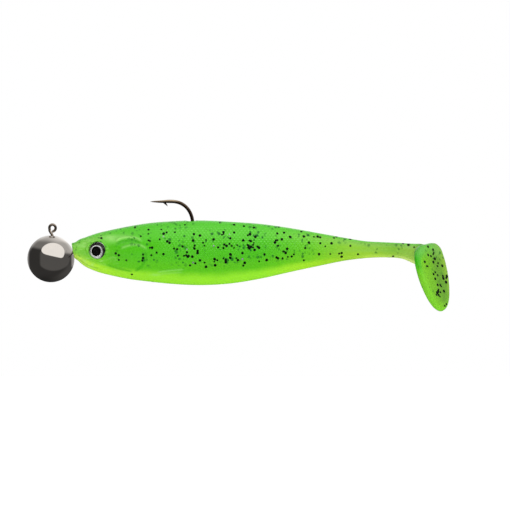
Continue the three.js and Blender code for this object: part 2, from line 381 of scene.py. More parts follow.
# Painted highlights: pale patches of glare on the glossy skin, as (s, z, reach along, reach up,
# strength).
PAINTED_GLARE = (
    (13.0, 3.9, 2.0, 1.1, 0.3), (11.6, 4.6, 1.6, 0.8, 0.24), (16.0, 4.8, 2.4, 0.6, 0.2),
    (3.4, 1.7, 1.9, 0.7, 0.3), (5.0, 3.6, 1.6, 0.5, 0.2), (26.5, -7.4, 1.5, 0.4, 0.22),
)
CHEEK = (19.5, -2.0, 4.6, 4.2, 0.22)  # a swelling of the skin, given in the same way
EYE_R = 2.58
EYE_BACK = 0.3  # the seen eye sits this far behind the middle of the frame's foil
EYE_SEAT = 0.13  # depth of the seat under the foil
EYE_RIM = (0.32, 0.5, 0.42)  # height, distance from the seat and half width
EYE_TOE = math.radians(15)
IRIS_SHIFT = (-0.34, -0.42)  # the print sits forward of and below the eye's middle
IRIS_EDGE = (1.9, 2.04)  # the silver iris ends and the dark rim starts
PUPIL_SHIFT = (-0.42, -0.28)
PUPIL_R = 1.48
SCALE_PITCH = 1.12
SCALE_DEPTH = 0.085
HOOK_EXIT_S = 37.9
PUCKER = (0.35, 1.1)  # depth and reach of the dent where the hook comes out


def curve_points(knots, count=60):
    k = np.array(knots, float)
    run = run_along(k)
    t = np.linspace(0, run[-1], count)
    return curve(run, k, t), t / run[-1]


def patch(s, z, at_s, at_z, along, up, strength):
    """A soft round patch round one place."""
    return strength * np.exp(-(((s - at_s) / along) ** 2 + ((z - at_z) / up) ** 2))


def line_height(s, z, knots, height, width):
    """Height of a rounded ridge along a curve, fading to nothing at both ends."""
    ends = 0.16
    line, along = curve_points(knots)
    low, high = line.min(0) - 3 * width, line.max(0) + 3 * width
    near = (s > low[0]) & (s < high[0]) & (z > low[1]) & (z < high[1])
    out = np.zeros_like(s)
    points = np.stack([s[near], z[near]], 1)
    gap = np.linalg.norm(points[:, None] - line[None], axis=2)
    best = gap.argmin(1)
    fade = smooth(0, ends, along[best]) * smooth(0, ends, 1 - along[best])
    out[near] = height * fade * np.exp(-((gap.min(1) / width) ** 2))
    return out


def scale_height(s, z):
    """Fine fish scales in staggered rows, each a low dome that ends in a step."""
    row = z / (SCALE_PITCH * 0.62)
    across = s / SCALE_PITCH + 0.5 * (np.floor(row) % 2)
    u = across - np.floor(across) - 0.5
    v = row - np.floor(row) - 0.5
    dome = np.clip(1 - (u / 0.5) ** 2 - 0.8 * (v / 0.5) ** 2, 0, 1)
    return dome * (0.75 + 0.5 * u)


def eye_frames():
    for side, name in ((-1, "left"), (1, "right")):
        low, high = box_mm(f"{name}_eye_foil")
        axis = np.array([-math.sin(EYE_TOE), side * math.cos(EYE_TOE), 0.0])
        yield name, side, (low + high) / 2 + (EYE_BACK, 0, 0), axis


def carve_eyes(points):
    """Sinks a round seat for each eye and raises a soft rim round it."""
    height, away, width = EYE_RIM
    reach = 5.0
    for _, side, foil, axis in eye_frames():
        rel = points - (foil - axis * EYE_SEAT)
        along = rel @ axis
        radial = np.linalg.norm(rel - along[..., None] * axis, axis=-1)
        near = (points[..., 1] * side > 0) & (radial < reach)
        rim = height * np.exp(-(((radial - EYE_R - away) / width) ** 2))
        inside = smooth(EYE_R + 0.2, EYE_R + 0.02, radial)
        move = np.where(near, rim * (1 - inside) - along * inside, 0)
        points = points + move[..., None] * axis
    return points


def relief(rings, place):
    """Moves the rings along the surface normal by the height of the moulded detail.

    Also gives the marks that the colours follow: scales for painted glints, ridges with glare
    patches for painted highlights, and creases for painted shade."""
    grid = np.stack(rings)
    s = per_ring(place)
    z = grid[..., 2] - SHANK_Z
    normal = ring_normals(grid)
    side_on = smooth(0.35, 0.75, np.abs(normal[..., 1]))
    ridges, creases = (
        sum(line_height(s.ravel(), z.ravel(), *line).reshape(s.shape) * side_on for line in group)
        for group in (RELIEF, CREASES)
    )
    scales = flank_share(s, z) * scale_height(s, z)
    depth, reach = PUCKER
    pucker = np.hypot(s - HOOK_EXIT_S, grid[..., 1]) / reach
    height = ridges - creases + patch(s, z, *CHEEK) * side_on + SCALE_DEPTH * scales
    height -= np.where(z > 0, depth * np.exp(-(pucker**2)), 0)
    height[s <= STATIONS[0, 0] + 0.1] = 0
    # Painted highlights: the ridge tops and the glare patches, which the colour makes pale.
    pale = ridges + sum(patch(s, z, *glare_patch) for glare_patch in PAINTED_GLARE)
    return carve_eyes(grid + normal * height[..., None]), np.stack([scales, pale, creases], -1)


def ring_normals(grid):
    """Normals of a stack of rings, all turned away from the middle of their ring."""
    normal = grid_normals(grid)
    from_middle = grid - grid.mean(axis=1, keepdims=True)
    return normal * np.sign((from_middle * normal).sum(2))[..., None]


def flank_share(s, z):
    """1 where the skin has scales, fading out towards the head, tail, back and belly."""
    deep = np.maximum(np.ptp(z, axis=1, keepdims=True), 1e-6)
    up = (z - z.min(1, keepdims=True)) / deep
    along = smooth(24, 30, s) * smooth(90, 78, s)
    return along * smooth(0.2, 0.34, up) * smooth(0.97, 0.86, up)


# ---------------- meshes
def new_object(name, mesh, material):
    made = bpy.data.objects.new(name, mesh)
    bpy.context.scene.collection.objects.link(made)
    mesh.materials.append(material)
    return made


def mesh_from(name, points_mm, faces, smooth_faces=True):
    mesh = bpy.data.meshes.new(name)
    mesh.from_pydata((np.asarray(points_mm) * MM).tolist(), [], faces)
    mesh.polygons.foreach_set("use_smooth", [smooth_faces] * len(mesh.polygons))
    mesh.update()
    return mesh


def tidy_mesh(mesh):
    """Welds doubled points and turns every face outwards."""
    weld, sliver = 5e-7, 1e-8
    work = bmesh.new()
    work.from_mesh(mesh)
    bmesh.ops.remove_doubles(work, verts=work.verts, dist=weld)
    bmesh.ops.dissolve_degenerate(work, edges=work.edges, dist=sliver)
    bmesh.ops.recalc_face_normals(work, faces=work.faces)
    work.to_mesh(mesh)
    work.free()
    mesh.update()


def closed_mesh(name, points_mm, faces):
    mesh = mesh_from(name, points_mm, faces)
    tidy_mesh(mesh)
    return mesh


def store(mesh, name, values):
    attribute = mesh.attributes.new(name, "FLOAT_VECTOR", "POINT")
    attribute.data.foreach_set("vector", np.asarray(values, np.float32).ravel())


def ring_faces(count, sides=SIDES):
    """Quads between each of count closed rings and the next."""
    i, k = np.meshgrid(np.arange(count - 1), np.arange(sides), indexing="ij")
    n = (k + 1) % sides
    quads = np.stack([i * sides + k, i * sides + n, (i + 1) * sides + n, (i + 1) * sides + k], -1)
    return quads.reshape(-1, 4).tolist()


def grid_areas(grid):
    """The piece of surface round each point of the rings, as a vector along its normal."""
    around = (np.roll(grid, -1, 1) - np.roll(grid, 1, 1)) / 2
    return np.cross(around, np.gradient(grid, axis=0))


def grid_normals(grid):
    """Outward normals of the rings; 0 where all points of a ring meet."""
    areas = grid_areas(grid)
    return areas / np.maximum(np.linalg.norm(areas, axis=2), 1e-12)[..., None]


def smooth_across_cut(mesh):
    """Gives each side face the uncut skin's normals, so no cut shows as a line."""
    wanted = np.empty(len(mesh.vertices) * 3, np.float32)
    mesh.attributes["uncut"].data.foreach_get("vector", wanted)
    wanted = wanted.reshape(-1, 3)
    mesh.attributes.remove(mesh.attributes["uncut"])
    normals = []
    for polygon in mesh.polygons:
        flat = np.array(polygon.normal)
        for vertex in polygon.vertices:
            turn = float(flat @ wanted[vertex])
            if polygon.use_smooth and abs(turn) > 0.3:
                normals.append(wanted[vertex] * (1 if turn > 0 else -1))
            else:
                normals.append(flat)
    mesh.normals_split_custom_set(normals)


class Skin:
    """The moulding as rings, with what its materials need to know at each point."""

    def __init__(self):
        rings, place = skin_rings()
        plate, rim = paddle_rings(rings[-1])
        carved, marks = relief(rings, place)
        self.grid = np.concatenate([carved, np.stack(plate)])
        last = STATIONS[-1, 0]
        self.place = np.array(place + [last + 0.01 * (i + 1) for i in range(len(plate))])
        self.normals = grid_normals(self.grid)
        s = per_ring(np.minimum(self.place, last))
        z = self.grid[..., 2] - SHANK_Z
        top, under = (hermite(STATIONS[:, 0], STATIONS[:, i], np.maximum(s, 0.4)) for i in (1, 2))
        self.share = np.clip((z - under) / (top - under), 0, 1)
        on_paddle = smooth(FLEX_S + 1, last + 0.1, per_ring(self.place))
        self.lure = np.stack([s / BAIT_LENGTH, self.share, on_paddle], -1)
        local = (self.grid - PADDLE_HINGE) @ PADDLE_TURN
        rim_share = per_ring([0.0] * len(place) + rim)
        across, down = local[..., 1] / PLATE_HALF, -local[..., 2] / PLATE_HEIGHT
        self.plate = np.stack([across, down, rim_share], -1)
        self.detail = np.zeros(self.grid.shape)
        self.detail[:len(place)] = marks
        self.surface = BVHTree.FromPolygons(
            self.grid.reshape(-1, 3).tolist(), ring_faces(len(self.grid))
        )

    def nearest(self, point):
        return np.array(self.surface.find_nearest(point)[0])

    def ring_at(self, s):
        return int(np.argmin(np.abs(self.place - s)))

    def piece(self, name, first, last, material):
        """Rings first to last as one closed mesh, capped flat at each cut."""
        pick = slice(first, last + 1)
        count = last + 1 - first
        whole = {
            "rest": self.grid, "lure": self.lure, "plate": self.plate,
            "detail": self.detail, "uncut": self.normals,
        }
        data = {key: values[pick].reshape(-1, 3) for key, values in whole.items()}
        faces, caps = ring_faces(count), []
        for ring, cut in ((0, first > 0), (count - 1, last < len(self.grid) - 1)):
            if cut:
                hub = len(data["rest"])
                rows = slice(ring * SIDES, (ring + 1) * SIDES)
                for key, values in data.items():
                    data[key] = np.vstack([values, values[rows].mean(0)])
                start = ring * SIDES
                caps += [[start + k, start + (k + 1) % SIDES, hub] for k in range(SIDES)]
        mesh = mesh_from(name, data["rest"], faces + caps)
        for key, values in data.items():
            store(mesh, key, values)
        for polygon in mesh.polygons[len(faces):]:
            polygon.use_smooth = False
        tidy_mesh(mesh)
        smooth_across_cut(mesh)
        return new_object(name, mesh, material)


# ---------------- materials
class Nodes:
    """A short way to write a node tree."""

    def __init__(self, tree):
        self.tree = tree

    def add(self, kind, settings=None, **inputs):
        node = self.tree.nodes.new(kind)
        for key, value in (settings or {}).items():
            setattr(node, key, value)
        for key, value in inputs.items():
            self.put(node, key, value)
        return node

    def put(self, node, key, value):
        """key is a socket's name with _ for each space, or i and its number."""
        numbered = key[1:].isdigit()
        socket = node.inputs[int(key[1:]) if numbered else key.replace("_", " ")]
        if isinstance(value, bpy.types.NodeSocket):
            self.tree.links.new(value, socket)
        else:
            socket.default_value = value

    def math(self, operation, a, b=0.0, c=0.0, clamp=False):
        settings = {"operation": operation, "use_clamp": clamp}
        return self.add("ShaderNodeMath", settings, i0=a, i1=b, i2=c).outputs[0]

    def line(self, value, gain, base):
        return self.math("MULTIPLY_ADD", value, gain, base)

    def times(self, first, *others):
        for other in others:
            first = self.math("MULTIPLY", first, other)
        return first

    def step(self, value, low, high):
        """0 to 1, smoothly, as value goes from low to high; low may be the larger."""
        settings = {"interpolation_type": "SMOOTHSTEP"}
        node = self.add("ShaderNodeMapRange", settings, Value=value, From_Min=low, From_Max=high)
        return node.outputs[0]

    def mix(self, factor, a, b):
        return self.add("ShaderNodeMix", {"data_type": "RGBA"}, i0=factor, i6=a, i7=b).outputs[2]

    def noise(self, vector, scale, detail=3.0, roughness=0.5, distortion=0.0):
        return self.add(
            "ShaderNodeTexNoise", Vector=vector, Scale=scale, Detail=detail,
            Roughness=roughness, Distortion=distortion,
        ).outputs["Fac"]

    def split(self, vector):
        return self.add("ShaderNodeSeparateXYZ", Vector=vector).outputs

    def length(self, vector):
        settings = {"operation": "LENGTH"}
        return self.add("ShaderNodeVectorMath", settings, i0=vector).outputs["Value"]

    def coordinates(self, kind="Object"):
        return self.add("ShaderNodeTexCoord").outputs[kind]

    def stored(self, name):
        return self.add("ShaderNodeAttribute", {"attribute_name": name}).outputs["Vector"]


class Finish(Nodes):
    """A new material, written as the nodes that lead to its shader."""

    def __init__(self, name):
        self.material = bpy.data.materials.new(name)
        self.material.use_nodes = True
        super().__init__(self.material.node_tree)
        self.shader = self.tree.nodes["Principled BSDF"]

    def set(self, **inputs):
        for key, value in inputs.items():
            self.put(self.shader, key, value)

    def bump(self, height, distance, strength):
        node = self.add("ShaderNodeBump", Height=height, Distance=distance, Strength=strength)
        self.set(Normal=node.outputs[0])


def srgb(r, g, b):
    def line(c):
        c = c / 255
        return c / 12.92 if c <= 0.04045 else ((c + 0.055) / 1.055) ** 2.4
    return (line(r), line(g), line(b), 1.0)


GLOSS = 0.014  # light that the gloss adds to every colour of the plastic
LIGHT_LEVEL = 1.06  # light that falls on it


def seen(r, g, b):
    """The plastic's own colour under its gloss, for a colour as it is seen in the studio."""
    own = [max((c - GLOSS) / LIGHT_LEVEL, 0.001) for c in srgb(r, g, b)[:3]]
    return (*own, 1.0)


def ramp(n, along, stops):
    """Colour along the bait from (distance behind the nose, red, green, blue)."""
    node = n.add("ShaderNodeValToRGB", Fac=along)
    elements = node.color_ramp.elements
    while len(elements) < len(stops):
        elements.new(0.5)
    for element, (s, *rgb) in zip(elements, stops):
        element.position = s / BAIT_LENGTH
        element.color = seen(*rgb)
    return node.outputs["Color"]


def layered(n, colour, *layers):
    """Lays each (value, low, high, rgb) over colour as value goes from low to high."""
    for value, low, high, rgb in layers:
        colour = n.mix(n.step(value, low, high), colour, seen(*rgb))
    return colour


# Painted light: a lighter colour along the top edge of the back, which gets little light at its
# grazing angle.
TOP_EDGE_PAINTED_LIGHT = (102, 222, 72)
# Colours seen along the bait in four bands, from the back down to the belly:
# distance behind the nose, red, green and blue.
BACK = (
    (0, 138, 212, 88), (8, 118, 206, 70), (14, 98, 201, 54), (25, 88, 200, 50),
    (60, 88, 199, 50), (70, 105, 199, 54), (80, 128, 199, 68), (88, 136, 198, 78),
    (96, 138, 192, 82), (102, 126, 182, 76), (109, 152, 202, 98),
)
FLANK = (
    (0, 138, 212, 78), (8, 104, 192, 52), (14, 80, 184, 36), (25, 76, 186, 34),
    (60, 71, 181, 32), (68, 86, 187, 35), (76, 104, 193, 40), (88, 143, 199, 62),
    (96, 142, 195, 72), (102, 131, 187, 64), (109, 160, 203, 84),
)
LOWER = (
    (0, 168, 226, 84), (8, 122, 202, 50), (14, 92, 190, 38), (25, 90, 189, 34),
    (60, 87, 186, 33), (68, 100, 191, 35), (76, 112, 196, 38), (88, 149, 201, 54),
    (96, 154, 201, 62), (102, 144, 192, 66), (109, 170, 208, 88),
)
BELLY = (
    (0, 212, 250, 104), (8, 174, 231, 58), (14, 158, 226, 50), (25, 148, 224, 50),
    (60, 148, 226, 50), (74, 162, 222, 48), (80, 156, 213, 46), (88, 154, 203, 56),
    (96, 182, 218, 80), (102, 176, 212, 92), (109, 220, 236, 144),
)


def paddle_colour(n, cloud):
    """Emerald edge, yellow-green near side and olive middle of the thin paddle, with a greyish
    painted highlight at the top of its far half.
    """
    across, down, rim = n.split(n.stored("plate"))
    face = layered(
        n, seen(124, 198, 44),
        (across, -0.75, -0.3, (116, 184, 44)), (across, -0.25, 0.25, (104, 156, 54)),
        (across, 0.45, 0.9, (138, 180, 66)), (down, 0.76, 0.98, (140, 202, 58)),
        (down, 0.14, -0.08, (114, 186, 72)),
    )
    # Painted highlight: a greyish light patch at the top of the paddle's far half.
    painted_top_sheen = n.times(n.step(down, 0.14, -0.02), n.step(across, -0.1, 0.5), 0.3)
    face = n.mix(painted_top_sheen, face, seen(140, 176, 108))
    face = n.mix(n.times(cloud, 0.25), face, seen(118, 186, 56))
    edge = layered(
        n, seen(72, 186, 42),
        (down, 0.16, 0.44, (124, 204, 52)), (down, 0.14, -0.02, (104, 192, 76)),
        (across, 0.2, 0.8, (142, 184, 64)),
    )
    return n.mix(rim, face, edge)


def deep_flake(n, rest, share, on_paddle, scale, reach, kept):
    """How much the blurred flake that lies under the surface darkens the plastic."""
    warp = n.add("ShaderNodeTexNoise", Vector=rest, Scale=0.8, Detail=1.0).outputs["Color"]
    moved = n.add(
        "ShaderNodeVectorMath", {"operation": "MULTIPLY_ADD"}, i0=warp, i1=(0.7, 0.7, 0.7), i2=rest
    ).outputs[0]
    cell = n.add("ShaderNodeTexVoronoi", Vector=moved, Scale=scale)
    pick = n.add("ShaderNodeSeparateColor", Color=cell.outputs["Color"]).outputs
    return n.times(
        n.step(cell.outputs["Distance"], reach, reach * 0.45),
        n.math("GREATER_THAN", pick[0], kept),
        n.math("MAXIMUM", n.step(share, 0.2, 0.34), n.times(on_paddle, 0.5)),
        n.step(n.noise(rest, 0.16, 2.0), 0.4, 0.55),
        n.line(pick[1], 0.6, 0.4),
    )


def plastisol():
    """Green over chartreuse soft plastic with flake at several depths. Painted light in its
    colour: a lighter top edge, painted highlights on the scale tips, ridges, glare patches and
    head streaks, and painted shade in the creases.
    """
    n = Finish("green_plastisol")
    rest = n.stored("rest")
    along, share, on_paddle = n.split(n.stored("lure"))
    scales, ridge, painted_crease_shade = n.split(n.stored("detail"))
    cloud = n.noise(rest, 0.22, 4.0)
    fine = n.noise(rest, 1.6, 3.0)

    level = n.math("ADD", share, n.line(cloud, 0.07, -0.035))
    belly_line = n.line(n.step(along, 0.11, 0.0), 0.1, 0.165)
    below = n.math("SUBTRACT", level, belly_line)
    back, flank, lower, belly = (ramp(n, along, stops) for stops in (BACK, FLANK, LOWER, BELLY))
    colour = n.mix(n.step(level, 0.62, 0.84), flank, back)
    # Painted light: the top edge of the back made lighter.
    colour = n.mix(n.times(n.step(share, 0.84, 0.98), 0.6), colour, seen(*TOP_EDGE_PAINTED_LIGHT))
    colour = n.mix(n.step(level, 0.46, 0.28), colour, lower)
    colour = n.mix(n.step(below, 0.075, -0.07), colour, belly)
    colour = n.mix(n.times(fine, 0.22), colour, seen(112, 206, 58))

    # Painted highlights: pale glints on the scale tips, on the upper flank only.
    painted_scale_glints = n.mix(n.times(n.math("POWER", scales, 2.4), 0.95), colour, seen(140, 228, 112))
    colour = n.mix(n.step(level, 0.4, 0.72), colour, painted_scale_glints)
    # Painted highlights: pale ridge tops and glare patches.
    colour = n.mix(n.math("MULTIPLY", ridge, 1.9, clamp=True), colour, seen(158, 226, 116))
    # Painted shade: darker green in the creases.
    colour = n.mix(n.times(n.step(painted_crease_shade, 0.01, 0.1), 0.6), colour, seen(66, 166, 34))
    # Painted highlights: pale streaks along the head.
    stretched = n.add("ShaderNodeMapping", Vector=rest, Scale=(0.35, 1.0, 1.5)).outputs[0]
    sheen_streak = n.step(n.noise(stretched, 1.2, 3.0), 0.54, 0.68)
    painted_head_sheen = n.times(sheen_streak, n.step(along, 0.16, 0.06), 0.45)
    colour = n.mix(painted_head_sheen, colour, seen(168, 226, 122))
    colour = n.mix(on_paddle, colour, paddle_colour(n, cloud))
    for scale, reach, kept in ((0.5, 0.36, 0.4), (0.85, 0.42, 0.55)):
        spot = deep_flake(n, rest, share, on_paddle, scale, reach, kept)
        colour = n.mix(spot, colour, seen(16, 100, 44))

    n.set(Base_Color=colour, IOR=1.46, Specular_IOR_Level=0.26)
    n.set(Roughness=n.line(fine, 0.14, 0.2))
    n.bump(n.line(n.noise(rest, 2.4, 1.0), 0.12, n.noise(rest, 0.6, 1.0)), 0.00008, 0.35)
    return n.material


def flake(name, colour, metallic, roughness):
    n = Finish(name)
    shade = n.noise(n.stored("rest"), 1.7, 2.0)
    n.set(Base_Color=n.mix(shade, colour, srgb(4, 12, 6)), Metallic=metallic)
    n.set(Roughness=n.line(shade, 0.2, roughness), Specular_IOR_Level=0.06)
    return n.material


def plated_ball():
    """Dark nickel over a cast ball: clear reflections with faint haze and rubs."""
    n = Finish("dark_nickel")
    spot = n.coordinates()
    haze = n.noise(spot, 260.0, 4.0, 0.6)
    rubs = n.noise(spot, 900.0, 2.0, distortion=3.0)
    tint = n.mix(haze, srgb(188, 184, 180), srgb(204, 198, 190))
    n.set(Base_Color=tint, Metallic=1.0)
    n.set(Roughness=n.line(n.step(haze, 0.45, 0.75), 0.05, 0.045))
    n.bump(rubs, 0.000004, 0.35)
    return n.material


def hook_steel():
    """Black nickel wire, painted lighter higher up with a painted tan highlight on top of the
    bend, and more worn at the line tie.

    The object's coordinates are the frame's, in metres."""
    n = Finish("black_nickel_wire")
    spot = n.coordinates()
    behind, _, height = n.split(spot)
    patches = n.noise(spot, 420.0, 4.0, 0.55)
    fine = n.noise(spot, 2600.0, 2.0)
    patchy = n.step(patches, 0.35, 0.7)
    painted_top_highlight = n.mix(patchy, srgb(160, 142, 116), srgb(182, 164, 138))
    worn = n.mix(patchy, srgb(132, 120, 108), srgb(172, 160, 146))
    # Painted light: the wire is lighter higher up, with a painted highlight colour on top of the
    # bend.
    wire = n.mix(n.step(height, 0.005, 0.0078), srgb(62, 50, 42), srgb(82, 68, 54))
    wire = n.mix(n.step(height, 0.0083, 0.0088), wire, painted_top_highlight)
    n.set(Base_Color=n.mix(n.step(behind, 0.02, 0.004), wire, worn), Metallic=1.0)
    n.set(Roughness=n.line(fine, 0.08, 0.06))
    n.bump(fine, 0.000004, 0.25)
    return n.material


def keeper_tin():
    n = Finish("tinned_keeper")
    grain = n.noise(n.coordinates(), 1500.0, 3.0)
    n.set(Base_Color=n.mix(grain, srgb(150, 148, 145), srgb(186, 184, 180)), Metallic=1.0)
    n.set(Roughness=n.line(grain, 0.2, 0.3))
    return n.material


def eye_print():
    """Mirror foil with a dark rim printed round the silver iris, a little off centre; the silver
    has painted light, lighter towards the nose and darker towards the tail.
    """
    n = Finish("eye_foil")
    rest = n.stored("rest")
    from_iris = n.add(
        "ShaderNodeVectorMath", {"operation": "SUBTRACT"}, i0=rest, i1=(*IRIS_SHIFT, 0)
    ).outputs[0]
    grain = n.noise(rest, 2.5, 3.0)
    # Painted light: the silver is lighter towards the nose and darker towards the tail.
    painted_light_side = n.line(grain, 0.25, n.step(n.split(rest)[0], 1.9, 0.2))
    silver = n.mix(painted_light_side, srgb(176, 176, 180), srgb(252, 252, 254))
    ink = n.step(n.line(grain, 0.12, n.length(from_iris)), *IRIS_EDGE)
    n.set(Base_Color=n.mix(ink, silver, srgb(44, 40, 40)))
    n.set(Metallic=n.line(ink, 0.1, 0.15), Roughness=n.line(grain, 0.14, 0.2))
    return n.material


def pupil_ink():
    n = Finish("pupil_ink")
    grain = n.noise(n.coordinates(), 1800.0, 2.0)
    n.set(Base_Color=n.mix(grain, srgb(3, 3, 3), srgb(10, 11, 9)))
    n.set(Roughness=n.line(grain, 0.1, 0.3), Specular_IOR_Level=0.1)
    return n.material


def clear_epoxy():
    n = Finish("clear_epoxy")
    swirl = n.noise(n.coordinates(), 500.0, 2.0)
    n.set(Base_Color=(1, 1, 1, 1), Transmission_Weight=1.0, IOR=1.3)
    n.set(Roughness=n.times(n.step(swirl, 0.55, 0.9), 0.03))
    return n.material


# ---------------- black and silver flake
FLAKE_LIFT = 0.012  # a flake's middle stands this far out of the skin
FLAKE_HALF = 0.022  # half its thickness
FLAKE_POINTS = 14  # a middle and six corners on each side
FLAKE_TILT = 0.05
FLAKE_SIZES = (0.7, 1.25)  # smallest and largest, as shares of the usual radius
CLUSTERS = RNG.uniform((22, -4.5), (78, 7), (46, 2))  # (s, z) where the body's flake gathers


def flakes(name, skin, first, last, count, material, size, density):
    """Thin hexagons lying on the skin, spread by area and by density."""
    rings = slice(first, last + 1)
    grid = skin.grid[rings]
    area = np.linalg.norm(grid_areas(grid), axis=2)
    s = per_ring(skin.place[rings])
    chance = area * density(s, grid, skin.share[rings]) * away_from_eyes(grid)
    chance *= np.clip(1 - 3 * skin.plate[rings, :, 2], 0, 1)
    chance[:2], chance[-2:] = 0, 0
    picks = RNG.choice(chance.size, count, replace=False, p=chance.ravel() / chance.sum())
    points, faces, rest = [], [], []
    for pick in picks:
        i, k = divmod(int(pick), SIDES)
        tilt = unit(outward(skin, first + i, k) + RNG.normal(0, FLAKE_TILT, 3))
        hexagon(points, faces, skin, grid[i, k], tilt, size * RNG.uniform(*FLAKE_SIZES))
        rest.extend([grid[i, k]] * FLAKE_POINTS)
    mesh = mesh_from(name, points, faces, smooth_faces=False)
    store(mesh, "rest", rest)
    return new_object(name, mesh, material)


def outward(skin, i, k):
    """The skin's normal turned away from the plastic: off the midline or the paddle's plane."""
    spot, normal = skin.grid[i, k], skin.normals[i, k]
    away = spot - skin.grid[i].mean(0)
    plate = plate_normal()
    if skin.place[i] > STATIONS[-1, 0] and abs(normal @ plate) > 0.6:
        away = plate * ((spot - paddle_middle()) @ plate)
    return normal * (1 if away @ normal > 0 else -1)


def away_from_eyes(grid):
    """1 on the skin and 0 on the eyes' seats and rims."""
    margin = 0.9
    clear = np.ones(grid.shape[:2])
    for _, side, foil, axis in eye_frames():
        gap = np.linalg.norm(np.cross(grid - foil, axis), axis=2)
        clear[(gap < EYE_R + margin) & (grid[..., 1] * side > 0)] = 0
    return clear


def hexagon(points, faces, skin, centre, normal, radius):
    """One flake, its corners laid on the skin, with a low fan on each side."""
    across = unit(np.cross(normal, (0.3, 0.5, 0.81)))
    other = np.cross(normal, across)
    start = RNG.uniform(0, math.pi / 3)
    base = len(points)
    corners = []
    for k in range(6):
        a = start + k * math.pi / 3
        ring = radius * (math.cos(a) * across + math.sin(a) * other)
        corners.append(skin.nearest(centre + ring))
    for height in (FLAKE_LIFT - FLAKE_HALF, FLAKE_LIFT + FLAKE_HALF):
        points.extend(spot + normal * height for spot in [centre] + corners)
    for k in range(6):
        low, high = base + 1 + k, base + 1 + (k + 1) % 6
        faces.append([base, high, low])
        faces.append([base + 7, low + 7, high + 7])
        faces.append([low, high, high + 7, low + 7])


def body_density(s, grid, share):
    """Clustered on the flanks, sparse on the head and nearly none on the belly."""
    gap = np.hypot(s[..., None] - CLUSTERS[:, 0], grid[..., 2:] - SHANK_Z - CLUSTERS[:, 1])
    gather = 0.22 + np.exp(-((gap.min(-1) / 1.7) ** 2))
    back = 1 - 0.7 * smooth(0.78, 0.94, share)
    return gather * back * smooth(0.2, 0.4, share) * (0.55 + 0.45 * smooth(18, 30, s)) + 0.004


def tail_density(s, grid, share):
    return 0.35 + 0.65 * smooth(90, 76, s) * smooth(0.1, 0.3, share)


def paddle_density(s, grid, share):
    """Denser on the far half of the paddle than on its near half and the stalk."""
    beside = (grid - PADDLE_HINGE) @ PADDLE_TURN
    return 0.35 + smooth(-4, 0.5, beside[..., 1]) * smooth(FLEX_S, STATIONS[-1, 0], s)


# ---------------- ball, hook and eyes
def circle(sides):
    turn = 2 * math.pi * np.arange(sides) / sides
    return np.cos(turn), np.sin(turn)


def spread(x, y, z):
    """Points from the coordinates of a grid; any of the three may repeat along an axis."""
    return np.stack(np.broadcast_arrays(x, y, z), -1).reshape(-1, 3)


def ball_mesh():
    """The weight, with a soft lip where the wire leaves its top and its back."""
    rows, sides = 120, 192
    polar = math.pi * np.arange(rows + 1)[:, None] / rows
    cos, sin = circle(sides)
    out = spread(np.sin(polar) * cos, np.sin(polar) * sin, np.cos(polar))
    points = SEEN_BALL_CENTRE + out * (SEEN_BALL_R - wire_dishes(out))[:, None]
    return closed_mesh("plated_ball", points, ring_faces(rows + 1, sides))


def wire_dishes(out):
    """Depth of the shallow dish round the wire at the two places where it comes out."""
    deep, reach = 0.16, 0.75
    depth = 0
    for wire in ((0.05, 0, 1.0), (1.0, 0, 0.31)):
        angle = np.arccos(np.minimum(out @ wire / np.linalg.norm(wire), 1))
        depth = depth + deep * np.exp(-((angle * BALL_R / reach) ** 4))
    return depth


WIRE_R = 0.475
TIE_WIRE_R = 0.42
TIE_TUCK = 0.6  # the line tie's cut end closes beside the stem
TIE_TUCK_LENGTH = 3.4
STEM_BEND_R = 2.0  # the wire turns from the stem to the shank inside the ball
GAPE = 15.95  # shank to point, centre to centre
BEND_S = 31.2  # where the shank ends and the bend starts
BEND_LENGTH = 7.12
BEND_SQUARENESS = 2.28  # 2 is an ellipse
POINT_LENGTH = 6.0
POINT_TIP = (NOSE_X + 24.8, SHANK_Z + 15.88)
BARB_S = 30.6
FORGED_DEEPER, FORGED_THINNER = 0.16, 0.08  # the bend's wire is pressed this much


def arc_points(x, z, rx, rz, start, stop, count, power=2.0):
    """Points of an ellipse's arc; a power above 2 squares its corners."""
    a = np.radians(np.linspace(start, stop, count))
    c, v = np.cos(a), np.sin(a)
    across, up = (np.sign(w) * np.abs(w) ** (2 / power) for w in (c, v))
    return np.stack([x + rx * across, z + rz * up], 1)


def wire_route():
    """Middle line of the hook wire in the bait's own plane, from the line tie's cut end."""
    tie = arc_points(-0.05, 0, 0.98, 1.07, -100, 196, 30)
    stem = [(-0.94, -0.82), (-0.64, -1.42), (-0.24, -2.04), (-0.05, -2.62), (-0.02, -3.8)]
    corner = arc_points(STEM_BEND_R, SHANK_Z + STEM_BEND_R, STEM_BEND_R, STEM_BEND_R, 180, 270, 8)
    shank = [(8.0, SHANK_Z), (22.0, SHANK_Z)]
    bend = arc_points(
        NOSE_X + BEND_S, SHANK_Z + GAPE / 2, BEND_LENGTH, GAPE / 2, -90, 90, 31, BEND_SQUARENESS
    )
    point = [(NOSE_X + 28.3, SHANK_Z + GAPE - 0.08), POINT_TIP]
    route = np.vstack([tie, stem, corner, shank, bend, point])
    run = run_along(route)
    even_run = np.linspace(0, run[-1], 420)
    return curve(run, route, even_run), even_run


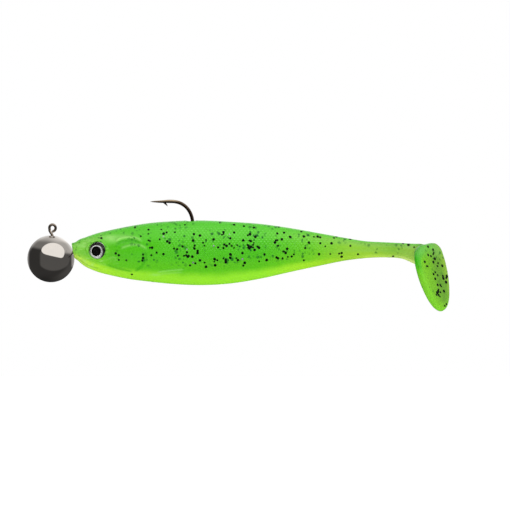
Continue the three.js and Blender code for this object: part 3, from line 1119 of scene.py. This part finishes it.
def hook_mesh():
    """Round wire swept along its route, ground to a needle point.

    The taper's power makes the point fuller than a cone."""
    sides, taper_power, tip_r = 24, 0.55, 0.02
    route, run = wire_route()
    tangent = unit(np.gradient(route, axis=0))
    width = TIE_WIRE_R + (WIRE_R - TIE_WIRE_R) * smooth(8, 14, run)
    taper = np.clip((run[-1] - run) / POINT_LENGTH, 0, 1) ** taper_power
    cut_end = np.sqrt(np.clip(run / 0.1, 0.4, 1))
    radius = width * np.minimum(taper, cut_end)
    radius[-1] = tip_r
    forged = smooth(run[-1] - 24, run[-1] - 16, run)
    tucked = TIE_TUCK * (1 - smooth(0, TIE_TUCK_LENGTH, run))
    cos, sin = circle(sides)
    x, z, ahead, up, radius, forged, tucked = (
        row[:, None] for row in (*route.T, *tangent.T, radius, forged, tucked)
    )
    off = radius * cos * (1 + FORGED_DEEPER * forged)
    side = radius * sin * (1 - FORGED_THINNER * forged)
    points = spread(x - up * off, tucked + side, z + ahead * off)
    ends = [list(range(sides))[::-1], list(range(len(points) - sides, len(points)))]
    return closed_mesh("hook_wire", points, ring_faces(len(route), sides) + ends)


def barb_mesh():
    """Sliver cut up from the underside of the point, thin at its tip."""
    outline = (  # along from BARB_S, up from the wire's middle, half thickness
        (-2.5, -0.12, 0.24), (-1.7, -0.52, 0.24), (-1.08, -1.0, 0.18),
        (-0.28, -1.6, 0.05), (-0.46, -1.0, 0.16), (-0.9, -0.3, 0.24),
    )
    points = [
        (NOSE_X + BARB_S + along, side * half, SHANK_Z + GAPE + up)
        for side in (-1, 1) for along, up, half in outline
    ]
    n = len(outline)
    faces = [list(range(n)), [n + k for k in reversed(range(n))]]
    faces += [[k, n + k, n + (k + 1) % n, (k + 1) % n] for k in range(n)]
    return closed_mesh("barb", points, faces)


def joined(name, first, second, material):
    """Both closed meshes as one solid."""
    whole = new_object(name, first, material)
    added = new_object(f"{name}_tool", second, material)
    join = whole.modifiers.new("join", "BOOLEAN")
    join.operation, join.object, join.solver = "UNION", added, "EXACT"
    bpy.context.view_layer.update()
    evaluated = whole.evaluated_get(bpy.context.evaluated_depsgraph_get())
    merged = bpy.data.meshes.new_from_object(evaluated)
    whole.modifiers.clear()
    whole.data = merged
    bpy.data.objects.remove(added)
    merged.polygons.foreach_set("use_smooth", [True] * len(merged.polygons))
    return whole


def keeper_mesh():
    """Collar on the shank with rings of barbs that lean towards the ball."""
    low, high = box_mm("bait_keeper")
    length, tip = high[0] - low[0], (high[2] - low[2]) / 2
    core, bore, barbs = 0.73 * tip, WIRE_R + 0.03, 3
    pitch = length / (barbs + 0.4)
    profile = [(bore, 0), (core, 0)]
    for k in range(barbs):
        start = pitch * (k + 0.4)
        profile += [(core, start), (tip, start + 0.05), (core, start + 0.7 * pitch)]
    profile += [(core, length), (bore, length), (bore, 0)]
    centre = np.array([low[0], 0, SHANK_Z])
    return turned_mesh("barbed_keeper", profile, centre, (1, 0, 0), 64)


def turned_mesh(name, profile, centre, axis, sides=96, shift=(0.0, 0.0)):
    """A solid of revolution (radius, height) about axis; shift moves it across the axis.

    "rest" is each point's place on an eye: towards the tail, up and out of its middle."""
    axis, up = unit(np.array(axis)), np.array([0, 0, 1.0])
    across = unit(np.cross(up, axis))
    flip = 1 if across[0] > 0 else -1
    radius, height = (np.array(row)[:, None] for row in zip(*profile))
    cos, sin = circle(sides)
    x, y, z = spread(radius * cos, radius * sin, height).T[..., None]
    base = centre + shift[0] * flip * across + shift[1] * up
    mesh = mesh_from(name, base + x * across + y * up + z * axis, ring_faces(len(profile), sides))
    store(mesh, "rest", np.hstack([x * flip, y, z]))
    tidy_mesh(mesh)
    return mesh


def eye_pieces(name, foil_centre, axis, materials):
    """Foil, pupil and clear dome of one eye, on the seat in the skin."""
    foil_r, foil_back = EYE_R - 0.06, -0.09
    dome_back, dome_rim, crown = -0.11, 0.62, 0.95
    foil = [(r, 0.0) for r in np.linspace(0, foil_r, 20)]
    foil += [(foil_r, foil_back), (0, foil_back)]
    pupil = [(0, 0.07), (PUPIL_R - 0.1, 0.07), (PUPIL_R, 0.05), (PUPIL_R, 0.01), (0, 0.01)]
    dome = [(0, dome_back), (EYE_R - 0.02, dome_back), (EYE_R, dome_back + 0.03)]
    for a in np.linspace(0, math.pi / 2, 24):
        dome.append((EYE_R * math.cos(a), dome_rim + crown * math.sin(a)))
    still = (0.0, 0.0)
    parts = (
        ("iris_foil", foil, still, "eye_foil", "eye_foil"),
        ("pupil", pupil, PUPIL_SHIFT, None, "eye_foil"),
        ("clear_dome", dome, still, "eye_dome", "eye_dome"),
    )
    for (title, profile, shift, node, slot), material in zip(parts, materials):
        mesh = turned_mesh(f"{name}_{title}", profile, foil_centre, axis, shift=shift)
        piece = new_object(f"{name}_{title}", mesh, material)
        piece.visible_glossy = False
        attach(piece, "head")
        if node:
            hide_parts(f"{name}_{node}")


# ---------------- stage, light and camera
def stage_floor():
    """A pale floor well below the hanging bait, fading to plain white far off."""
    half, middle_x, below = 1.6, 0.06, 0.09
    height = float(CAD_BOX[0][2]) - below
    mesh = bpy.data.meshes.new("floor")
    corners = [(-half, -half), (half, -half), (half, half), (-half, half)]
    mesh.from_pydata([(x + middle_x, y, height) for x, y in corners], [], [(0, 1, 2, 3)])
    n = Finish("pale_floor")
    far = n.step(n.length(n.coordinates()), 0.2, 0.42)
    n.set(Base_Color=(0.9, 0.9, 0.9, 1), Roughness=0.9, Specular_IOR_Level=0.1)
    n.set(Emission_Color=(1, 1, 1, 1), Emission_Strength=n.line(far, 0.8, 0.25))
    floor = new_object("floor", mesh, n.material)
    floor.visible_glossy = False


def studio():
    """White to the eye; in reflections a dark room with a big softbox.

    The room is laid out by where a mirror ball seen from the front shows each thing: u to
    the right of its middle and v above it, both from -1 to 1."""
    softbox_light = 1.42
    world = bpy.data.worlds.new("studio")
    bpy.context.scene.world = world
    world.use_nodes = True
    n = Nodes(world.node_tree)
    n.tree.nodes.clear()
    x, y, z = n.split(n.coordinates("Generated"))
    reach = n.math("SQRT", n.times(n.math("SUBTRACT", 1.0001, y), 2.0))
    u, v = n.math("DIVIDE", x, reach), n.math("DIVIDE", z, reach)
    light = n.math("MAXIMUM", dark_room(n, u, v), n.times(softbox(n, u, v), softbox_light))
    mirrored = n.add("ShaderNodeBackground", Color=(1, 0.99, 0.98, 1), Strength=light).outputs[0]
    backdrop = n.add("ShaderNodeBackground", Color=(1, 1, 1, 1), Strength=1.0).outputs[0]
    to_eye = n.add("ShaderNodeLightPath").outputs["Is Camera Ray"]
    pick = n.add("ShaderNodeMixShader", i0=to_eye, i1=mirrored, i2=backdrop).outputs[0]
    n.add("ShaderNodeOutputWorld", Surface=pick)


def ellipse(n, u, v, middle, half):
    """How far out a place is from the middle of an ellipse, which lies at 1."""
    off_u = n.math("DIVIDE", n.math("SUBTRACT", u, middle[0]), half[0])
    off_v = n.math("DIVIDE", n.math("SUBTRACT", v, middle[1]), half[1])
    return n.math("SQRT", n.math("ADD", n.times(off_u, off_u), n.times(off_v, off_v)))


def softbox(n, u, v):
    """An arch above a straight lower edge that falls to the right, with rounded corners."""
    lower = n.line(n.line(u, 0.2246, v), -2.0, 1.28)
    left = n.line(n.line(v, 0.671, u), -1.67, 0.706)
    right = n.line(n.line(v, -0.383, u), 1.5, 0.18)
    rounded = 0.0
    for edge in (ellipse(n, u, v, (0.1, 0.2), (0.53, 0.48)), lower, left, right):
        outside = n.math("POWER", n.math("MAXIMUM", edge, 0.0), 11.0)
        rounded = n.math("ADD", outside, rounded)
    return n.step(rounded, 1.35, 0.8)


def dark_room(n, u, v):
    """Light walls above, a table below the softbox, and light strips round the edge."""
    falling = n.line(u, 0.15, v)
    far_out = ellipse(n, u, v, (0, 0), (1, 1))
    table = ellipse(n, u, v, (0.15, 0), (0.7, 0.52))
    wall = n.line(n.step(u, -0.25, 0.4), 0.38, 0.22)
    wall = n.line(n.step(v, 0.66, 0.86), 0.42, wall)
    light = n.line(n.step(v, -0.9, -0.6), 0.02, 0.03)
    light = n.math("ADD", light, n.times(wall, n.step(falling, 0.27, 0.43)))
    for level, *steps in (
        (0.085, (u, -0.48, -0.37), (table, 1.05, 0.9), (falling, 0.42, 0.3)),
        (0.045, (far_out, 0.66, 0.86), (u, -0.35, 0.6), (v, -0.1, -0.35)),
        (0.35, (u, -0.88, -0.97), (v, -0.6, -0.3)),
        (0.25, (far_out, 0.86, 0.98), (v, 0.2, 0.5)),
        (0.42, (u, 0.84, 0.94), (v, -0.5, -0.35), (v, 0.3, 0.1)),
    ):
        light = n.line(n.times(*(n.step(*step) for step in steps)), level, light)
    return light


def area_light(name, place, target, size, power):
    data = bpy.data.lights.new(name, "AREA")
    data.shape, data.size, data.energy = "DISK", size, power
    made = bpy.data.objects.new(name, data)
    bpy.context.scene.collection.objects.link(made)
    made.location = place
    made.rotation_mode = "QUATERNION"
    made.rotation_quaternion = (Vector(target) - Vector(place)).to_track_quat("-Z", "Y")
    made.visible_glossy = False


def lights():
    middle = (0.06, 0, -0.01)
    area_light("fill_front", (0.02, -0.7, -0.25), middle, 0.6, 3.0)
    area_light("fill_back", (0.1, 0.7, 0.25), middle, 0.6, 2.0)
    area_light("fill_under", (0.06, -0.1, -0.5), middle, 0.5, 1.4)


def camera():
    """Square on to the bait's left side, through a long lens."""
    lens, sensor, width_seen = 200.0, 36.0, 0.1623
    middle_x, middle_z = 0.0644, -0.00861
    data = bpy.data.cameras.new("camera")
    data.lens, data.sensor_width = lens, sensor
    data.clip_start, data.clip_end = 0.05, 20
    made = bpy.data.objects.new("camera", data)
    bpy.context.scene.collection.objects.link(made)
    made.location = (middle_x, -width_seen * lens / sensor, middle_z)
    made.rotation_euler = (math.pi / 2, 0, 0)
    bpy.context.scene.camera = made


# ---------------- build
def soft_skin():
    skin = Skin()
    front, tail = skin.ring_at(FRONT_CUT_S), skin.ring_at(TAIL_CUT_S)
    end = len(skin.grid) - 1
    green = plastisol()
    black = flake("black_flake", srgb(8, 20, 10), 0.0, 0.35)
    silver = flake("silver_flake", srgb(226, 228, 240), 0.6, 0.3)
    ahead = np.array([1.0, 0, 0])
    # Rings, bodies, hinge, heading there, reach of a blend, nodes, slot, and the black
    # flake's count, size and density; the bodies, hinge, heading, reach and slot are not used
    # here.
    spans = {
        "front": (0, front, "head", "rear_body", BODY_HINGE, ahead, (-16, 12),
                  ["body_front"], "soft_body", (250, 0.41, body_density)),
        "middle": (front, tail, "rear_body", "tail", TAIL_HINGE, ahead, (-10, 8),
                   ["body_rear"], "soft_body", (46, 0.41, tail_density)),
        "tail": (tail, end, "tail", "paddle", PADDLE_HINGE, PADDLE_HEADING, (-3, 3.6),
                 ["tail_stalk", "tail_paddle"], "soft_tail", (100, 0.46, paddle_density)),
    }
    for title, row in spans.items():
        first, last, a, b, hinge, heading, reach, nodes, slot, (count, size, density) = row
        body = skin.piece(f"soft_body_{title}", first, last, green)
        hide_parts(*nodes)
        pieces = [
            body, flakes(f"black_flakes_{title}", skin, first, last, count, black, size, density)
        ]
        if title == "front":
            pieces.append(flakes("silver_flakes", skin, first, last, 10, silver, 0.3, density))
        for piece in pieces:
            piece.visible_glossy = False
            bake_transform(piece)


def jig_head():
    ball = new_object("plated_ball", ball_mesh(), plated_ball())
    hook = joined("jig_hook_wire", hook_mesh(), barb_mesh(), hook_steel())
    keeper = new_object("barbed_keeper", keeper_mesh(), keeper_tin())
    keeper.visible_glossy = False
    for piece, node, slot in (
        (ball, "jig_head_ball", "ball_plating"),
        (hook, "jig_hook", "hook_wire"),
        (keeper, "bait_keeper", "keeper_metal"),
    ):
        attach(piece, "head")
        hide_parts(node)


camera()
soft_skin()
jig_head()
eye_materials = (eye_print(), pupil_ink(), clear_epoxy())
for eye_name, _, eye_centre, eye_axis in eye_frames():
    eye_pieces(eye_name, eye_centre, eye_axis, eye_materials)
stage_floor()
studio()
lights()
bpy.context.scene.view_settings.view_transform = "Standard"
